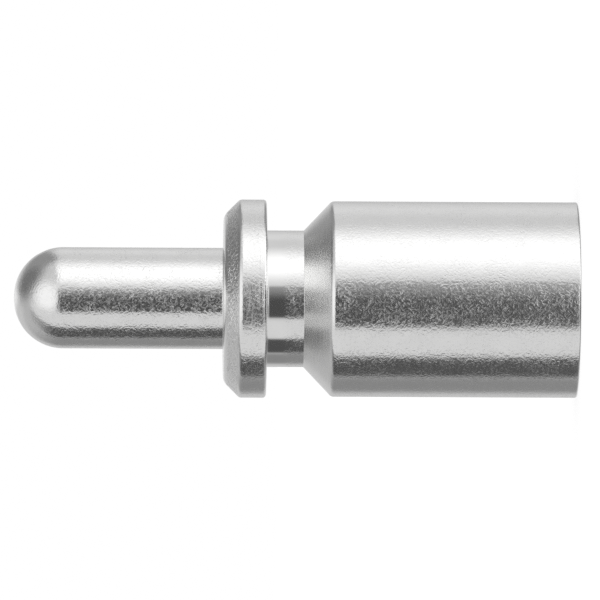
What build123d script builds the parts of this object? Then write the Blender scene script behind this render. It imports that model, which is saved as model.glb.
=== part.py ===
"""Turned crimp contact pin for a power connector, silver plated, in millimetres.

One piece, turned from bar. The crimp mouth stands on Z = 0 and the pin points up along +Z.
From the bottom it has a crimp barrel with a drilled wire bore, a tapered shoulder, a neck that
a retaining clip snaps round, a collar with a chamfered front, and a round nosed pin.
"""

import os
from math import radians, tan

from build123d import *

# Crimp barrel and shoulder
barrel_diameter = 11.6
barrel_length = 14.55
shoulder_angle = 46.5
shoulder_round = 0.4
mouth_round = 0.1

# Wire bore, drilled through the barrel and a little way on into the shoulder
bore_diameter = 8.3
bore_past_barrel = 0.5
drill_point_angle = 118.0
mouth_lead_in = 0.4

# Neck, the groove between shoulder and collar
neck_diameter = 8.1
neck_length = 2.2

# Collar
collar_diameter = 11.75
collar_width = 2.55
collar_chamfer = 0.97
collar_face_round = 0.8
collar_rim_round = 0.35
collar_back_round = 0.2

# Contact pin
pin_diameter = 6.0
pin_length = 12.4
nose_flat_diameter = 0.15

# Radii that follow from the diameters
barrel_radius = barrel_diameter / 2
bore_radius = bore_diameter / 2
neck_radius = neck_diameter / 2
collar_radius = collar_diameter / 2
pin_radius = pin_diameter / 2
nose_flat_radius = nose_flat_diameter / 2
nose_radius = pin_radius - nose_flat_radius

# Heights above the mouth
shoulder_height = (barrel_radius - neck_radius) / tan(radians(shoulder_angle))
neck_z = barrel_length + shoulder_height
collar_back_z = neck_z + neck_length
collar_front_z = collar_back_z + collar_width
tip_z = collar_front_z + pin_length
nose_z = tip_z - nose_radius
bore_depth = barrel_length + bore_past_barrel
drill_point_z = bore_depth + bore_radius / tan(radians(drill_point_angle / 2))

# How far an edge may lie from the place that names it
EDGE_TOLERANCE = 1e-4


def ring(part, radius, z):
    """The round edge of that radius at that height, all the way round the axis."""
    found = [
        edge
        for edge in part.edges().filter_by(GeomType.CIRCLE)
        if abs(edge.radius - radius) < EDGE_TOLERANCE
        and abs(edge.arc_center.Z - z) < EDGE_TOLERANCE
    ]
    return ShapeList(found)


with BuildPart() as contact:
    # Outside, as the lathe turns it
    with BuildSketch(Plane.XZ):
        with BuildLine():
            mouth = Line((0, 0), (barrel_radius, 0))
            barrel = Line(mouth @ 1, (barrel_radius, barrel_length))
            shoulder = Line(barrel @ 1, (neck_radius, neck_z))
            neck = Line(shoulder @ 1, (neck_radius, collar_back_z))
            collar_back = Line(neck @ 1, (collar_radius, collar_back_z))
            rim = Line(collar_back @ 1, (collar_radius, collar_front_z - collar_chamfer))
            front_chamfer = Line(rim @ 1, (collar_radius - collar_chamfer, collar_front_z))
            collar_front = Line(front_chamfer @ 1, (pin_radius, collar_front_z))
            shank = Line(collar_front @ 1, (pin_radius, nose_z))
            nose = CenterArc((nose_flat_radius, nose_z), nose_radius, 0, 90)
            tip = Line(nose @ 1, (0, tip_z))
            Line(tip @ 1, mouth @ 0)
        make_face()
    revolve(axis=Axis.Z)

    # Wire bore, with the cone that the drill leaves at its end
    with BuildSketch(Plane.XZ):
        with BuildLine():
            Polyline(
                (0, 0),
                (bore_radius, 0),
                (bore_radius, bore_depth),
                (0, drill_point_z),
                close=True,
            )
        make_face()
    revolve(axis=Axis.Z, mode=Mode.SUBTRACT)
    chamfer(ring(contact, bore_radius, 0), length=mouth_lead_in)

    # Tumbled outer edges
    fillet(ring(contact, barrel_radius, 0), radius=mouth_round)
    fillet(ring(contact, barrel_radius, barrel_length), radius=shoulder_round)
    fillet(ring(contact, collar_radius, collar_back_z), radius=collar_back_round)
    fillet(ring(contact, collar_radius, collar_front_z - collar_chamfer), radius=collar_rim_round)
    fillet(ring(contact, collar_radius - collar_chamfer, collar_front_z), radius=collar_face_round)

contact.part.label = "pin_contact"

os.makedirs("parts", exist_ok=True)
export_step(contact.part, "parts/pin_contact.step")
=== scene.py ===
"""Looks of the turned crimp contact: silver plate with tumbling marks, in a plain white studio."""

from math import atan2, cos, pi, radians, sin, tan

import bpy
import numpy as np
from mathutils import Matrix, Vector


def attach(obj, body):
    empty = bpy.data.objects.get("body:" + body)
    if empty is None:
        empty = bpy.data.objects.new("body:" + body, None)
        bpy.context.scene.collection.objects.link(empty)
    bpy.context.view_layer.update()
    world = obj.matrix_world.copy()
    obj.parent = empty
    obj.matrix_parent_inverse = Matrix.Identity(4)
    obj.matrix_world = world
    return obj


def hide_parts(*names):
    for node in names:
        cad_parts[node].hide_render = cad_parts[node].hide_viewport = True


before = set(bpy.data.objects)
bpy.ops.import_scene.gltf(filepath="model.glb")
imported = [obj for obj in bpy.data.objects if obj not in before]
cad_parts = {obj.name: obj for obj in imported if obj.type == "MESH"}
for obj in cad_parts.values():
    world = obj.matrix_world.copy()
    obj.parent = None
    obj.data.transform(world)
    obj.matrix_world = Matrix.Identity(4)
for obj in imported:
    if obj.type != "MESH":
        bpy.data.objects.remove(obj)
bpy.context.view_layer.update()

MM = 0.001
NODE = "pin_contact"
SEED = 11

# Sizes of the turned part in millimetres and degrees, as in the CAD
BARREL_R, BORE_R, NECK_R, COLLAR_R, PIN_R = 5.8, 4.15, 4.05, 5.875, 3.0
BARREL_LENGTH, NECK_LENGTH, COLLAR_WIDTH, PIN_LENGTH = 14.55, 2.2, 2.55, 12.4
BORE_PAST_BARREL, LEAD_IN, COLLAR_CHAMFER, NOSE_FLAT_R = 0.5, 0.4, 0.97, 0.075
SHOULDER_ANGLE, DRILL_POINT_ANGLE = 46.5, 118.0
MOUTH_ROUND, SHOULDER_ROUND = 0.1, 0.4
COLLAR_BACK_ROUND, COLLAR_RIM_ROUND, COLLAR_FACE_ROUND = 0.2, 0.35, 0.8

# What follows from them
NECK_Z = BARREL_LENGTH + (BARREL_R - NECK_R) / tan(radians(SHOULDER_ANGLE))
COLLAR_BACK_Z = NECK_Z + NECK_LENGTH
COLLAR_FRONT_Z = COLLAR_BACK_Z + COLLAR_WIDTH
TIP_Z = COLLAR_FRONT_Z + PIN_LENGTH
NOSE_R = PIN_R - NOSE_FLAT_R
NOSE_Z = TIP_Z - NOSE_R
BORE_END = BARREL_LENGTH + BORE_PAST_BARREL
DRILL_POINT_Z = BORE_END + BORE_R / tan(radians(DRILL_POINT_ANGLE / 2))

# The mesh
SEGMENTS = 224  # round the axis
NOSE_STEPS = 44
CORNER_ROUND = 0.05  # in the inside corners and at the lead-in, which are sharp in the CAD
PLAIN_STEPS = 2  # a round with more steps is an edge, whatever the run before it shows

# Corners from the drill point down the bore, round the mouth and up to the nose: radius, height, round,
# steps in the round, zone of the run that ends there, and spacing of the rings along that run
CORNERS = [
    (0.0, DRILL_POINT_Z, 0.0, 0, "drill", 0.3),
    (BORE_R, BORE_END, 0.0, 0, "drill", 0.3),
    (BORE_R, LEAD_IN, 0.0, 0, "bore", 0.35),
    (BORE_R + LEAD_IN, 0.0, CORNER_ROUND, 2, "lead", 0.14),
    (BARREL_R, 0.0, MOUTH_ROUND, 6, "mouth", 0.2),
    (BARREL_R, BARREL_LENGTH, SHOULDER_ROUND, 7, "barrel", 0.145),
    (NECK_R, NECK_Z, CORNER_ROUND, 3, "cone", 0.14),
    (NECK_R, COLLAR_BACK_Z, CORNER_ROUND, 3, "neck", 0.14),
    (COLLAR_R, COLLAR_BACK_Z, COLLAR_BACK_ROUND, 6, "back", 0.2),
    (COLLAR_R, COLLAR_FRONT_Z - COLLAR_CHAMFER, COLLAR_RIM_ROUND, 7, "rim", 0.13),
    (COLLAR_R - COLLAR_CHAMFER, COLLAR_FRONT_Z, COLLAR_FACE_ROUND, 9, "chamfer", 0.12),
    (PIN_R, COLLAR_FRONT_Z, CORNER_ROUND, 3, "front", 0.17),
    (PIN_R, NOSE_Z, 0.0, 0, "pin", 0.13),
]

# What each zone shows: tumbling marks, rings left by the turning tool, dents in the mesh, added roughness
MARKS = {
    "drill": (0.0, 0.4, 0.0, 0.08), "bore": (0.0, 0.3, 0.0, 0.04), "lead": (0.0, 0.3, 0.0, 0.0),
    "mouth": (0.5, 0.3, 0.0, 0.0), "barrel": (1.0, 0.0, 1.0, 0.0), "cone": (0.0, 1.0, 0.0, 0.0),
    "neck": (1.0, 0.1, 0.2, 0.0), "back": (0.0, 1.0, 0.0, 0.0), "edge": (0.8, 0.0, 0.5, 0.0),
    "rim": (1.3, 1.6, 1.0, 0.0), "chamfer": (4.8, 0.0, 1.0, 0.0), "front": (0.0, 0.7, 0.0, 0.0),
    "pin": (1.4, 0.0, 1.0, 0.0), "nose": (1.0, 0.0, 1.0, 0.0),
}
# Zones that still show how they were turned or drilled
TURNED = {"drill", "bore", "lead", "cone", "back", "front"}
# The clip neck turns bright this far above its lower end, over this run, in millimetres
SHELTER_FROM, SHELTER_RUN = 0.95, 0.3

# Relief of the plated skin, in millimetres
SKIN = 0.0018
WAVES = ((3.2, 0.0004), (1.3, 0.0005))  # wavelength and height
WAVE_COUNT, WAVE_SPREAD = 48, (0.7, 1.4)
DENT_COUNT, DENT_RADII, DENT_DEPTHS = 520, (0.16, 0.42), (0.0008, 0.0035)
DENT_UNIT = 0.3  # radius of a dent that is as deep as was drawn for it
DENT_REACH, DENT_SHARPNESS = 2.2, 1.6  # radii, and per radius squared, as for the lip
LIP_SHARE, LIP_PLACE, LIP_SHARPNESS = 0.18, 1.35, 9
DENTED = 0.2  # no dent is centred in a zone whose share of dents is this or less

# Finish of the plate. Noises: scale per millimetre, detail and roughness
GRAIN = (5.2, 1.5, 0.6)
STROKE_PATCHES = (0.8, 2.0, 0.5)
FROST_PATCHES, FROST_SWIRL = (3.6, 2.0, 0.62), 0.9
TONE_PATCHES = (0.9, 3.0, 0.6)
RING_NOISE = (1.0, 2.0, 0.6)  # in a space that is stretched along the axis and outwards
# Rings from the tool: how many in a millimetre, and how fast they change round the part
FINE_RINGS, COARSE_RINGS = (25.0, 0.35), (12.0, 0.2)
# Strokes of three sizes over each other: cell, width, length and offset, in millimetres
STROKES = (
    (0.39, 0.081, 0.21, (0, 0, 0)),
    (0.30, 0.065, 0.15, (7.3, 2.1, 4.9)),
    (0.23, 0.054, 0.12, (1.7, 5.2, 8.8)),
)
STROKE_LIMIT = 1.2  # strokes over each other add no more roughness than this many do
# Stretches of a noise that ramps take, and what two of the ramps give
MIDDLE, FROST_EDGE, RING_EDGE = (0.3, 0.7), (0.36, 0.66), (0.35, 0.65)
STROKE_SHARE, TURNED_ROUGH = (0.6, 1.4), (0.17, 0.23)
# Heights in metres
GRAIN_HEIGHT, STROKE_DEPTH, RING_HEIGHT, WORN_RING_HEIGHT = 5e-6, 1.75e-6, 6e-6, 4.5e-6
# Roughness of the tumbled plate, and what frost and strokes add to it
BRIGHT_ROUGH, FROST_ROUGH, STROKE_ROUGH = 0.10, 0.06, 0.085
DARKER, LIGHTER = (0.935, 0.935, 0.93, 1), (0.965, 0.965, 0.96, 1)

MAP_MARGIN = 0.005  # round the map for the bake, as a share of its side


def placed(name, data):
    """A new object in the scene."""
    made = bpy.data.objects.new(name, data)
    bpy.context.scene.collection.objects.link(made)
    return made


# Mesh of the contact
def rounded_corner(before, corner, after, radius, steps):
    """Points of a round of that radius at a corner, with its ends on both sides."""
    a, b, c = (np.array(p, float) for p in (before, corner, after))
    u, v = (a - b) / np.linalg.norm(a - b), (c - b) / np.linalg.norm(c - b)
    half = 0.5 * np.arccos(np.clip(u @ v, -1, 1))
    middle = b + (u + v) / np.linalg.norm(u + v) * radius / np.sin(half)
    start, end = b + u * radius / np.tan(half), b + v * radius / np.tan(half)
    t0 = atan2(*(start - middle)[::-1])
    turn = (atan2(*(end - middle)[::-1]) - t0 + pi) % (2 * pi) - pi
    return [middle + radius * np.array([cos(t0 + turn * k / steps), sin(t0 + turn * k / steps)])
            for k in range(steps + 1)]


def profile():
    """Radius and height of each ring, with the zone that it belongs to."""
    rings = [(*CORNERS[0][:2], "drill")]
    for k in range(1, len(CORNERS)):
        r, z, size, steps, zone, spacing = CORNERS[k]
        if size:
            arc = rounded_corner(CORNERS[k - 1][:2], (r, z), CORNERS[k + 1][:2], size, steps)
        else:
            arc = [np.array([r, z])]
        last = np.array(rings[-1][:2])
        n = max(1, round(np.linalg.norm(arc[0] - last) / spacing))
        rings += [(*(last + (arc[0] - last) * j / n), zone) for j in range(1, n + 1)]
        round_zone = "edge" if steps > PLAIN_STEPS else zone
        rings += [(*p, round_zone) for p in arc[1:]]
    for k in range(1, NOSE_STEPS + 1):
        t = pi / 2 * k / NOSE_STEPS
        rings.append((NOSE_FLAT_R + NOSE_R * cos(t), NOSE_Z + NOSE_R * sin(t), "nose"))
    rings.append((0.0, TIP_Z, "nose"))
    return rings


def ring_marks(z, zones):
    """The marks of each ring. The neck is bright next to the collar, where tumbling stones don't reach."""
    marks = np.array([MARKS[zone] for zone in zones])
    sheltered = np.clip((z - NECK_Z - SHELTER_FROM) / SHELTER_RUN, 0, 1)
    marks[:, 0] *= 1 - sheltered * [zone == "neck" for zone in zones]
    return marks


def surface_relief(points, amount, rng):
    """Depth in mm of the plated skin below the true form: slow waves, and shallow dents from tumbling."""
    waves = np.zeros(len(points))
    for wavelength, height in WAVES:
        k = rng.normal(size=(WAVE_COUNT, 3))
        size = 2 * pi / wavelength / np.linalg.norm(k, axis=1) * rng.uniform(*WAVE_SPREAD, WAVE_COUNT)
        k *= size[:, None]
        phase = rng.uniform(0, 2 * pi, WAVE_COUNT)
        waves += height * np.sin(points @ k.T + phase).sum(1) / (WAVE_COUNT / 2) ** 0.5
    dents = np.zeros(len(points))
    for at in rng.choice(np.flatnonzero(amount > DENTED), DENT_COUNT):
        centre = points[at]
        radius = rng.uniform(*DENT_RADII)
        depth = rng.uniform(*DENT_DEPTHS) * (radius / DENT_UNIT)
        near = np.abs(points - centre).max(1) < DENT_REACH * radius
        d = np.linalg.norm(points[near] - centre, axis=1) / radius
        lip = LIP_SHARE * np.exp(-((d - LIP_PLACE) ** 2) * LIP_SHARPNESS)
        dents[near] += depth * (np.exp(-d * d * DENT_SHARPNESS) - lip)
    return (waves + SKIN + dents) * amount


def lathed(radius, height):
    """Each ring's point, or direction, repeated all round the axis."""
    angle = np.arange(SEGMENTS) * 2 * pi / SEGMENTS
    return np.stack([np.outer(radius, np.cos(angle)), np.outer(radius, np.sin(angle)),
                     np.repeat(height[:, None], SEGMENTS, 1)], -1).reshape(-1, 3)


def lathe_faces(rows):
    """Faces between the rings, row by row, then a fan at the drill point and one at the nose."""
    here = np.arange(SEGMENTS)
    after = (here + 1) % SEGMENTS
    faces = []
    for row in range(rows - 1):
        low, high = row * SEGMENTS, (row + 1) * SEGMENTS
        faces += np.stack([low + here, low + after, high + after, high + here], 1).tolist()
    drill_point, tip = rows * SEGMENTS, rows * SEGMENTS + 1
    top = (rows - 1) * SEGMENTS
    faces += np.stack([np.full(SEGMENTS, drill_point), after, here], 1).tolist()
    faces += np.stack([top + here, top + after, np.full(SEGMENTS, tip)], 1).tolist()
    return faces


def in_map(share):
    return MAP_MARGIN + (1 - 2 * MAP_MARGIN) * share


def unrolled_map(mesh, r, z):
    """Map for the bake: the angle across, and the length along the profile upwards."""
    along = np.concatenate([[0], np.cumsum(np.hypot(np.diff(r), np.diff(z)))])
    vertex = np.empty(len(mesh.loops), np.int32)
    mesh.loops.foreach_get("vertex_index", vertex)
    drill_point = (len(r) - 2) * SEGMENTS
    on_ring = vertex < drill_point
    ring = np.where(on_ring, vertex // SEGMENTS + 1, np.where(vertex == drill_point, 0, len(r) - 1))
    column = np.where(on_ring, vertex % SEGMENTS, 0).astype(float)
    corners = np.empty(len(mesh.polygons), np.int32)
    mesh.polygons.foreach_get("loop_total", corners)
    face = np.repeat(np.arange(len(corners)), corners)
    # In a face that closes the ring, column 0 stands at the far side of the map
    highest = np.zeros(len(corners))
    np.maximum.at(highest, face, column)
    column = np.where(on_ring & (column == 0) & (highest[face] > SEGMENTS / 2), SEGMENTS, column)
    # The drill point and the tip stand midway between the other corners of their face
    total, count = np.zeros(len(corners)), np.zeros(len(corners))
    np.add.at(total, face, column)
    np.add.at(count, face, on_ring)
    column = np.where(on_ring, column, (total / count)[face])
    places = np.stack([in_map(column / SEGMENTS), in_map(along / along[-1])[ring]], 1)
    layer = mesh.uv_layers.new(name="OFBake")
    layer.uv.foreach_set("vector", places.astype(np.float32).ravel())


def turned_contact():
    """The contact as one lathed mesh with its relief, for the silver plated piece."""
    rings = profile()
    r = np.array([ring[0] for ring in rings])
    z = np.array([ring[1] for ring in rings])
    zones = [ring[2] for ring in rings]
    tangent = np.gradient(np.stack([r, z], 1), axis=0)
    tangent /= np.linalg.norm(tangent, axis=1)[:, None]
    inner = slice(1, len(r) - 1)  # the first and the last ring are single points
    points = lathed(r[inner], z[inner])
    normals = lathed(tangent[inner, 1], -tangent[inner, 0])
    marks = np.repeat(ring_marks(z[inner], zones[inner]), SEGMENTS, 0)
    relief = surface_relief(points, marks[:, 2], np.random.default_rng(SEED))
    points = points - normals * np.clip(relief, 0, None)[:, None]
    points = np.vstack([points, [[0, 0, z[0]], [0, 0, z[-1]]]]) * MM
    rows = len(r) - 2
    mesh = bpy.data.meshes.new("turned_contact")
    mesh.from_pydata(points.tolist(), [], lathe_faces(rows))
    mesh.validate()
    mesh.polygons.foreach_set("use_smooth", np.ones(len(mesh.polygons), bool))
    # The tumbled plate is material 0 and the turned one is material 1
    turned = [zone in TURNED for zone in zones[2:-1]] + [True, False]
    mesh.polygons.foreach_set("material_index", np.repeat(turned, SEGMENTS).astype(np.int32))
    ends = np.array([MARKS["drill"], MARKS["nose"]])
    for column, name in ((0, "tumbled"), (1, "turned"), (3, "matt")):
        layer = mesh.attributes.new(name, "FLOAT", "POINT")
        values = np.concatenate([marks[:, column], ends[:, column]])
        layer.data.foreach_set("value", values.astype(np.float32))
    unrolled_map(mesh, r, z)
    return placed("turned_contact", mesh)


# Materials
class Shading:
    """The nodes of one material or world, with short ways to write them."""

    def __init__(self, owner):
        self.owner = owner
        owner.use_nodes = True
        self.nodes, self.links = owner.node_tree.nodes, owner.node_tree.links
        self.nodes.clear()

    def node(self, kind, **settings):
        made = self.nodes.new(kind)
        for key, value in settings.items():
            setattr(made, key, value)
        return made

    def feed(self, socket, value):
        """Link a node's output to a socket, or write a number there."""
        if isinstance(value, bpy.types.NodeSocket):
            self.links.new(value, socket)
        else:
            socket.default_value = value

    def math(self, operation, *values):
        made = self.node("ShaderNodeMath", operation=operation)
        for socket, value in zip(made.inputs, values):
            self.feed(socket, value)
        return made.outputs[0]

    def plus(self, a, b):
        return self.math("ADD", a, b)

    def times(self, a, b):
        return self.math("MULTIPLY", a, b)

    def attribute(self, name):
        return self.node("ShaderNodeAttribute", attribute_name=name).outputs["Fac"]

    def seen(self):
        """1 for a ray from the camera and for one that was reflected or let through, otherwise 0."""
        path = self.node("ShaderNodeLightPath").outputs
        either = self.math("MAXIMUM", path["Is Camera Ray"], path["Is Glossy Ray"])
        return self.math("MAXIMUM", either, path["Is Transmission Ray"])

    def show(self, shader, kind="ShaderNodeOutputMaterial"):
        """Link a shader to the output."""
        self.feed(self.node(kind).inputs["Surface"], shader.outputs[0])
        return self.owner


class Plate(Shading):
    """A metal finish that is worked out from the place on the part."""

    def __init__(self, name):
        super().__init__(bpy.data.materials.new(name))
        place = self.node("ShaderNodeTexCoord").outputs["Object"]
        self.at = self.vector("SCALE", place, scale=1 / MM)  # the place in millimetres
        self.normal = self.node("ShaderNodeNewGeometry").outputs["Normal"]

    def vector(self, operation, *values, scale=None):
        made = self.node("ShaderNodeVectorMath", operation=operation)
        for socket, value in zip(made.inputs, values):
            self.feed(socket, value)
        if scale is not None:
            self.feed(made.inputs["Scale"], scale)
        return made.outputs["Value" if operation == "DOT_PRODUCT" else "Vector"]

    def ramp(self, value, low, high, out_low=0.0, out_high=1.0):
        made = self.node("ShaderNodeMapRange", interpolation_type="SMOOTHSTEP")
        for key, number in zip(("Value", "From Min", "From Max", "To Min", "To Max"),
                               (value, low, high, out_low, out_high)):
            self.feed(made.inputs[key], number)
        return made.outputs["Result"]

    def noise(self, scale, detail, rough, vector=None, swirl=0.0):
        made = self.node("ShaderNodeTexNoise")
        self.feed(made.inputs["Vector"], vector or self.at)
        for key, number in zip(("Scale", "Detail", "Roughness", "Distortion"), (scale, detail, rough, swirl)):
            made.inputs[key].default_value = number
        return made.outputs[0]

    def in_surface(self, vector):
        """A vector without its part along the normal."""
        outward = self.vector("DOT_PRODUCT", vector, self.normal)
        return self.vector("SUBTRACT", vector, self.vector("SCALE", self.normal, scale=outward))

    def strokes(self, cell, width, length, offset):
        """Short scratches, one in each cell of a Voronoi grid, each in a direction of its own."""
        moved = self.vector("ADD", self.at, offset)
        cells = self.node("ShaderNodeTexVoronoi", feature="F1")
        self.feed(cells.inputs["Vector"], moved)
        cells.inputs["Scale"].default_value = 1 / cell
        away = self.in_surface(self.vector("SUBTRACT", moved, cells.outputs["Position"]))
        # A cell's colour is random, from 0 to 1, so its offset from middle grey gives a direction
        aim = self.vector("SUBTRACT", cells.outputs["Color"], (0.5, 0.5, 0.5))
        aim = self.vector("NORMALIZE", self.in_surface(aim))
        run = self.vector("DOT_PRODUCT", away, aim)
        across = self.math("SUBTRACT", self.vector("DOT_PRODUCT", away, away), self.times(run, run))
        side = self.math("SQRT", self.math("MAXIMUM", across, 0.0))
        ends = self.ramp(self.math("ABSOLUTE", run), length, length * 0.5)
        return self.times(self.ramp(side, width, 0.0), ends)

    def rings(self, per_mm, change):
        """Rings from the tool, with their strength changing slowly round the part."""
        split = self.node("ShaderNodeSeparateXYZ")
        self.feed(split.inputs[0], self.at)
        x, y, z = split.outputs
        radius = self.math("SQRT", self.plus(self.times(x, x), self.times(y, y)))
        place = self.node("ShaderNodeCombineXYZ")
        self.feed(place.inputs[0], self.times(z, per_mm))
        self.feed(place.inputs[1], self.times(radius, per_mm))
        self.feed(place.inputs[2], self.times(x, change))
        return self.noise(*RING_NOISE, place.outputs[0])

    def metal(self, height, rough, **constants):
        """The material, from a height in metres and a roughness, with a tone that drifts a little."""
        bump = self.node("ShaderNodeBump")
        bump.inputs["Strength"].default_value = 1.0
        bump.inputs["Distance"].default_value = 1.0
        self.feed(bump.inputs["Height"], height)
        tone = self.node("ShaderNodeMix", data_type="RGBA")
        tone.inputs["A"].default_value = DARKER
        tone.inputs["B"].default_value = LIGHTER
        self.feed(tone.inputs["Factor"], self.ramp(self.noise(*TONE_PATCHES), *MIDDLE))
        shader = self.node("ShaderNodeBsdfPrincipled")
        shader.inputs["Metallic"].default_value = 1.0
        for key, number in constants.items():
            shader.inputs[key.replace("_", " ")].default_value = number
        self.feed(shader.inputs["Base Color"], tone.outputs["Result"])
        self.feed(shader.inputs["Roughness"], rough)
        self.feed(shader.inputs["Normal"], bump.outputs["Normal"])
        return self.show(shader)


def tumbled_plate():
    """Silver on the surfaces that the tumbling stones reached: dense short strokes in a bright skin."""
    sh = Plate("silver_plate_tumbled")
    tumbled = sh.attribute("tumbled")
    large, medium, small = (sh.strokes(*stroke) for stroke in STROKES)
    strokes = sh.plus(sh.plus(large, medium), small)
    strokes = sh.times(strokes, sh.ramp(sh.noise(*STROKE_PATCHES), *MIDDLE, *STROKE_SHARE))
    grain = sh.times(sh.noise(*GRAIN), sh.times(tumbled, GRAIN_HEIGHT))
    cuts = sh.times(strokes, sh.times(tumbled, STROKE_DEPTH))
    rings = sh.times(sh.rings(*FINE_RINGS), sh.times(sh.attribute("turned"), WORN_RING_HEIGHT))
    height = sh.plus(sh.math("SUBTRACT", grain, cuts), rings)
    frost = sh.ramp(sh.noise(*FROST_PATCHES, swirl=FROST_SWIRL), *FROST_EDGE)
    frost = sh.times(frost, sh.math("MINIMUM", tumbled, 1.0))
    worn = sh.math("MINIMUM", sh.times(strokes, tumbled), STROKE_LIMIT)
    rough = sh.plus(sh.times(frost, FROST_ROUGH), sh.attribute("matt"))
    rough = sh.plus(rough, sh.times(worn, STROKE_ROUGH))
    return sh.metal(height, sh.plus(rough, BRIGHT_ROUGH))


def turned_plate():
    """Silver over a turned or drilled surface: rings from the tool, which smear reflections across them."""
    sh = Plate("silver_plate_turned")
    height = sh.times(sh.rings(*FINE_RINGS), sh.times(sh.attribute("turned"), RING_HEIGHT))
    rough = sh.ramp(sh.rings(*COARSE_RINGS), *RING_EDGE, *TURNED_ROUGH)
    return sh.metal(height, sh.plus(rough, sh.attribute("matt")), Anisotropic=1.0, Anisotropic_Rotation=0.25)


# The piece
contact = turned_contact()
contact.data.materials.append(tumbled_plate())
contact.data.materials.append(turned_plate())
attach(contact, "root")
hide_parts(NODE)

# Studio: light panels and dark flags round the part, on one shell that only reflections see
SHELL_RADIUS, SHELL_CENTRE, SHELL_STEP = 0.9, 0.0167, 1.5  # metres, metres up and degrees
ROOM = 0.56
# Turn is round the part's axis, 0 towards the camera and 90 to the picture's upper side. Rise is towards
# the nose, which is the picture's left. A panel is level, turns, rises, soft turns, soft rises; a disc is
# level, centre, radius, softness. Later ones stand in front of earlier ones.
PANELS = [
    ("rear low", 0.46, (-147, -72), (-100, 100), (24, 24), (1, 1)),
    ("rear low dark", 0.24, (-142, -106), (-26, 26), (18, 14), (52, 52)),
    ("zenith", 0.50, (0, 90), 13, 14),
    ("upper dark", 0.17, (118, 58), 31, 32),
    ("upper dark below", 0.22, (118, -50), 28, 32),
    ("upper dim", 0.27, (92, 157), (-30, 42), (14, 20), (20, 20)),
    ("above the lower card", 0.30, (-98, -66), (18, 66), (16, 12), (20, 24)),
    ("mouth side", 0.10, (0, -90), 38, 24),
    ("rear low, mouth end", 0.15, (-114, -80), (-76, -32), (14, 14), (16, 16)),
    ("softbox, mouth end", 1.2, (26, 97), (-88, -24), (16, 20), (8, 16)),
    ("rear strip", 0.85, (174, 186), (-60, 48), (12, 12), (20, 44)),
    ("rear upper card", 0.62, (92, 158), (-10, 10), (6, 14), (12, 12)),
    ("rear upper card middle", 0.70, (119, 141), (-10, 10), (16, 16), (12, 12)),
    ("nose key", 0.93, (2, 38), 30, 34),
    ("lower card", 0.66, (-71, -36), (-60, 72), (10, 8), (20, 24)),
    ("lower flag", 0.075, (-103.5, -72), (-22, 30), (5, 4), (44, 36)),
    ("softbox", 0.64, (21, 95), (-20, 12), (4, 6), (12, 10)),
    ("softbox middle", 1.15, (36, 82), (-20, 12), (38, 38), (12, 10)),
    ("camera surround", 0.27, (-32, 20.5), (-9, 11), (4, 4), (17, 17)),
    ("camera flag", 0.064, (-32, 8), (-9, 11), (4, 24), (17, 17)),
    ("under the camera", 1.1, (-10, 20), (-22, -12), (8, 10), (10, 6)),
    ("below the camera", 0.12, (-34, 20), (-80, -26), (10, 24), (14, 10)),
]


def smooth(x):
    x = np.clip(x, 0, 1)
    return x * x * (3 - 2 * x)


def panel(turn, rise, turns, rises, soft_turns, soft_rises):
    """Cover, 0 to 1, of a panel that spans turns and rises in degrees, with edges of those softnesses."""
    middle, half = sum(turns) / 2, (turns[1] - turns[0]) / 2
    off = (turn - middle + 180) % 360 - 180
    across = smooth(0.5 + (half + off) / soft_turns[0]) * smooth(0.5 + (half - off) / soft_turns[1])
    up = smooth(0.5 + (rise - rises[0]) / soft_rises[0]) * smooth(0.5 + (rises[1] - rise) / soft_rises[1])
    return across * up


def disc(turn, rise, centre, radius, soft):
    """Cover of a round panel."""
    a, e = np.radians(turn), np.radians(rise)
    ca, ce = np.radians(centre)
    near = np.sin(e) * np.sin(ce) + np.cos(e) * np.cos(ce) * np.cos(a - ca)
    return smooth(0.5 + (radius - np.degrees(np.arccos(np.clip(near, -1, 1)))) / soft)


def studio_shell():
    """The shell, with the light that comes from each of its points."""
    turns = np.arange(0, 360, SHELL_STEP) - 180
    rises = np.arange(-90, 90 + SHELL_STEP, SHELL_STEP)
    turn, rise = np.meshgrid(turns, rises)
    level = np.full_like(turn, ROOM)
    for _, value, *shape in PANELS:
        cover = disc(turn, rise, *shape) if len(shape) == 3 else panel(turn, rise, *shape)
        level += (value - level) * cover
    a, e = np.radians(turn), np.radians(rise)
    points = np.stack([np.sin(a) * np.cos(e), -np.cos(a) * np.cos(e), np.sin(e)], -1).reshape(-1, 3)
    points = points * SHELL_RADIUS + np.array([0, 0, SHELL_CENTRE])
    n = len(turns)
    here = np.arange(n)
    after = (here + 1) % n
    faces = []
    for low in range(0, n * (len(rises) - 1), n):
        faces += np.stack([low + here, low + after, low + n + after, low + n + here], 1).tolist()
    mesh = bpy.data.meshes.new("studio_shell")
    mesh.from_pydata(points.tolist(), [], faces)
    layer = mesh.attributes.new("level", "FLOAT", "POINT")
    layer.data.foreach_set("value", level.ravel().astype(np.float32))
    sh = Shading(bpy.data.materials.new("studio_panels"))
    glow = sh.node("ShaderNodeEmission")
    sh.feed(glow.inputs["Strength"], sh.attribute("level"))
    mesh.materials.append(sh.show(glow))
    sh.owner.cycles.emission_sampling = "NONE"
    shell = placed("studio_shell", mesh)
    shell.visible_camera = shell.visible_diffuse = shell.visible_shadow = False
    shell.visible_transmission = shell.visible_volume_scatter = False


studio_shell()

# Floor, white to the camera, with the part's shadow kept
FLOOR_REACH, FLOOR_GAP = 1.2, 0.00002  # metres each way, and below the part
FLOOR_TONE, FLOOR_GLOW = (0.3, 0.3, 0.3, 1), 0.75


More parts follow.
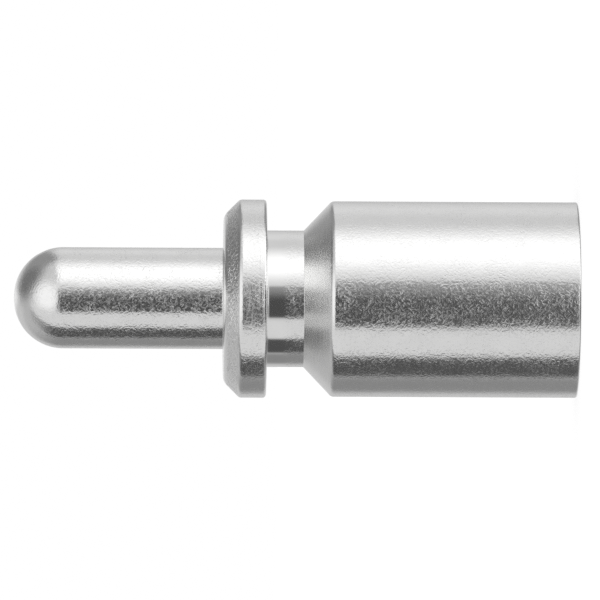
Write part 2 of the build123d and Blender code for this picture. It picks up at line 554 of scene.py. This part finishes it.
def floor():
    mesh = bpy.data.meshes.new("floor")
    s = FLOOR_REACH
    mesh.from_pydata([(-s, -s, 0), (s, -s, 0), (s, s, 0), (-s, s, 0)], [], [(0, 1, 2, 3)])
    sh = Shading(bpy.data.materials.new("floor"))
    paint = sh.node("ShaderNodeBsdfDiffuse")
    paint.inputs["Color"].default_value = FLOOR_TONE
    glow = sh.node("ShaderNodeEmission")
    sh.feed(glow.inputs["Strength"], sh.times(sh.seen(), FLOOR_GLOW))
    both = sh.node("ShaderNodeAddShader")
    sh.feed(both.inputs[0], paint.outputs[0])
    sh.feed(both.inputs[1], glow.outputs[0])
    mesh.materials.append(sh.show(both))
    sh.owner.cycles.emission_sampling = "NONE"
    made = placed("floor", mesh)
    made.location.z = -FLOOR_GAP
    made.visible_glossy = False


floor()

# World: white behind everything that is seen, and an even soft light otherwise
WHITE = (1, 1, 1, 1)
SOFT_LIGHT, WHITE_GROUND = 1.0, 1.0


def studio_world():
    sh = Shading(bpy.data.worlds.new("studio"))
    pick = sh.node("ShaderNodeMixShader")
    sh.feed(pick.inputs[0], sh.seen())
    for socket, strength in ((pick.inputs[1], SOFT_LIGHT), (pick.inputs[2], WHITE_GROUND)):
        light = sh.node("ShaderNodeBackground")
        light.inputs["Color"].default_value = WHITE
        light.inputs["Strength"].default_value = strength
        sh.feed(socket, light.outputs[0])
    bpy.context.scene.world = sh.show(pick, "ShaderNodeOutputWorld")


studio_world()

# Camera, rolled a quarter turn: the nose is at the picture's left, and a little nearer than the mouth
IMAGE_SIZE, SENSOR = 600, 36.0
PIXELS_PER_MM = 16.867
DISTANCE = 500.0
NEAREST, FARTHEST = 0.01, 10.0
MOUTH_X = 576.7  # column of the mouth
AXIS_Y = 298.85  # row of the axis at the middle column
TILT = radians(0.27)  # the nose end stands a little higher in the picture
YAW = radians(1.0)


def main_camera():
    up = Vector((cos(TILT), 0, sin(TILT)))
    along = Vector((sin(TILT), 0, -cos(TILT)))
    back = Vector((0, -1, 0)) * cos(YAW) - along * sin(YAW)
    right = up.cross(back)
    on_axis = Vector((0, 0, (MOUTH_X - IMAGE_SIZE / 2) / PIXELS_PER_MM))
    middle = on_axis - up * ((IMAGE_SIZE / 2 - AXIS_Y) / PIXELS_PER_MM)
    place = (middle + back * DISTANCE) * MM
    lens = bpy.data.cameras.new("camera")
    lens.sensor_width = SENSOR
    lens.lens = SENSOR * PIXELS_PER_MM * DISTANCE / IMAGE_SIZE
    lens.clip_start, lens.clip_end = NEAREST, FARTHEST
    camera = placed("camera", lens)
    camera.matrix_world = Matrix((
        (right.x, up.x, back.x, place.x),
        (right.y, up.y, back.y, place.y),
        (right.z, up.z, back.z, place.z),
        (0, 0, 0, 1),
    ))
    return camera


bpy.context.scene.camera = main_camera()
bpy.context.scene.view_settings.view_transform = "Standard"
bpy.context.scene.cycles.use_denoising = False  # it would smear the tumbling marks
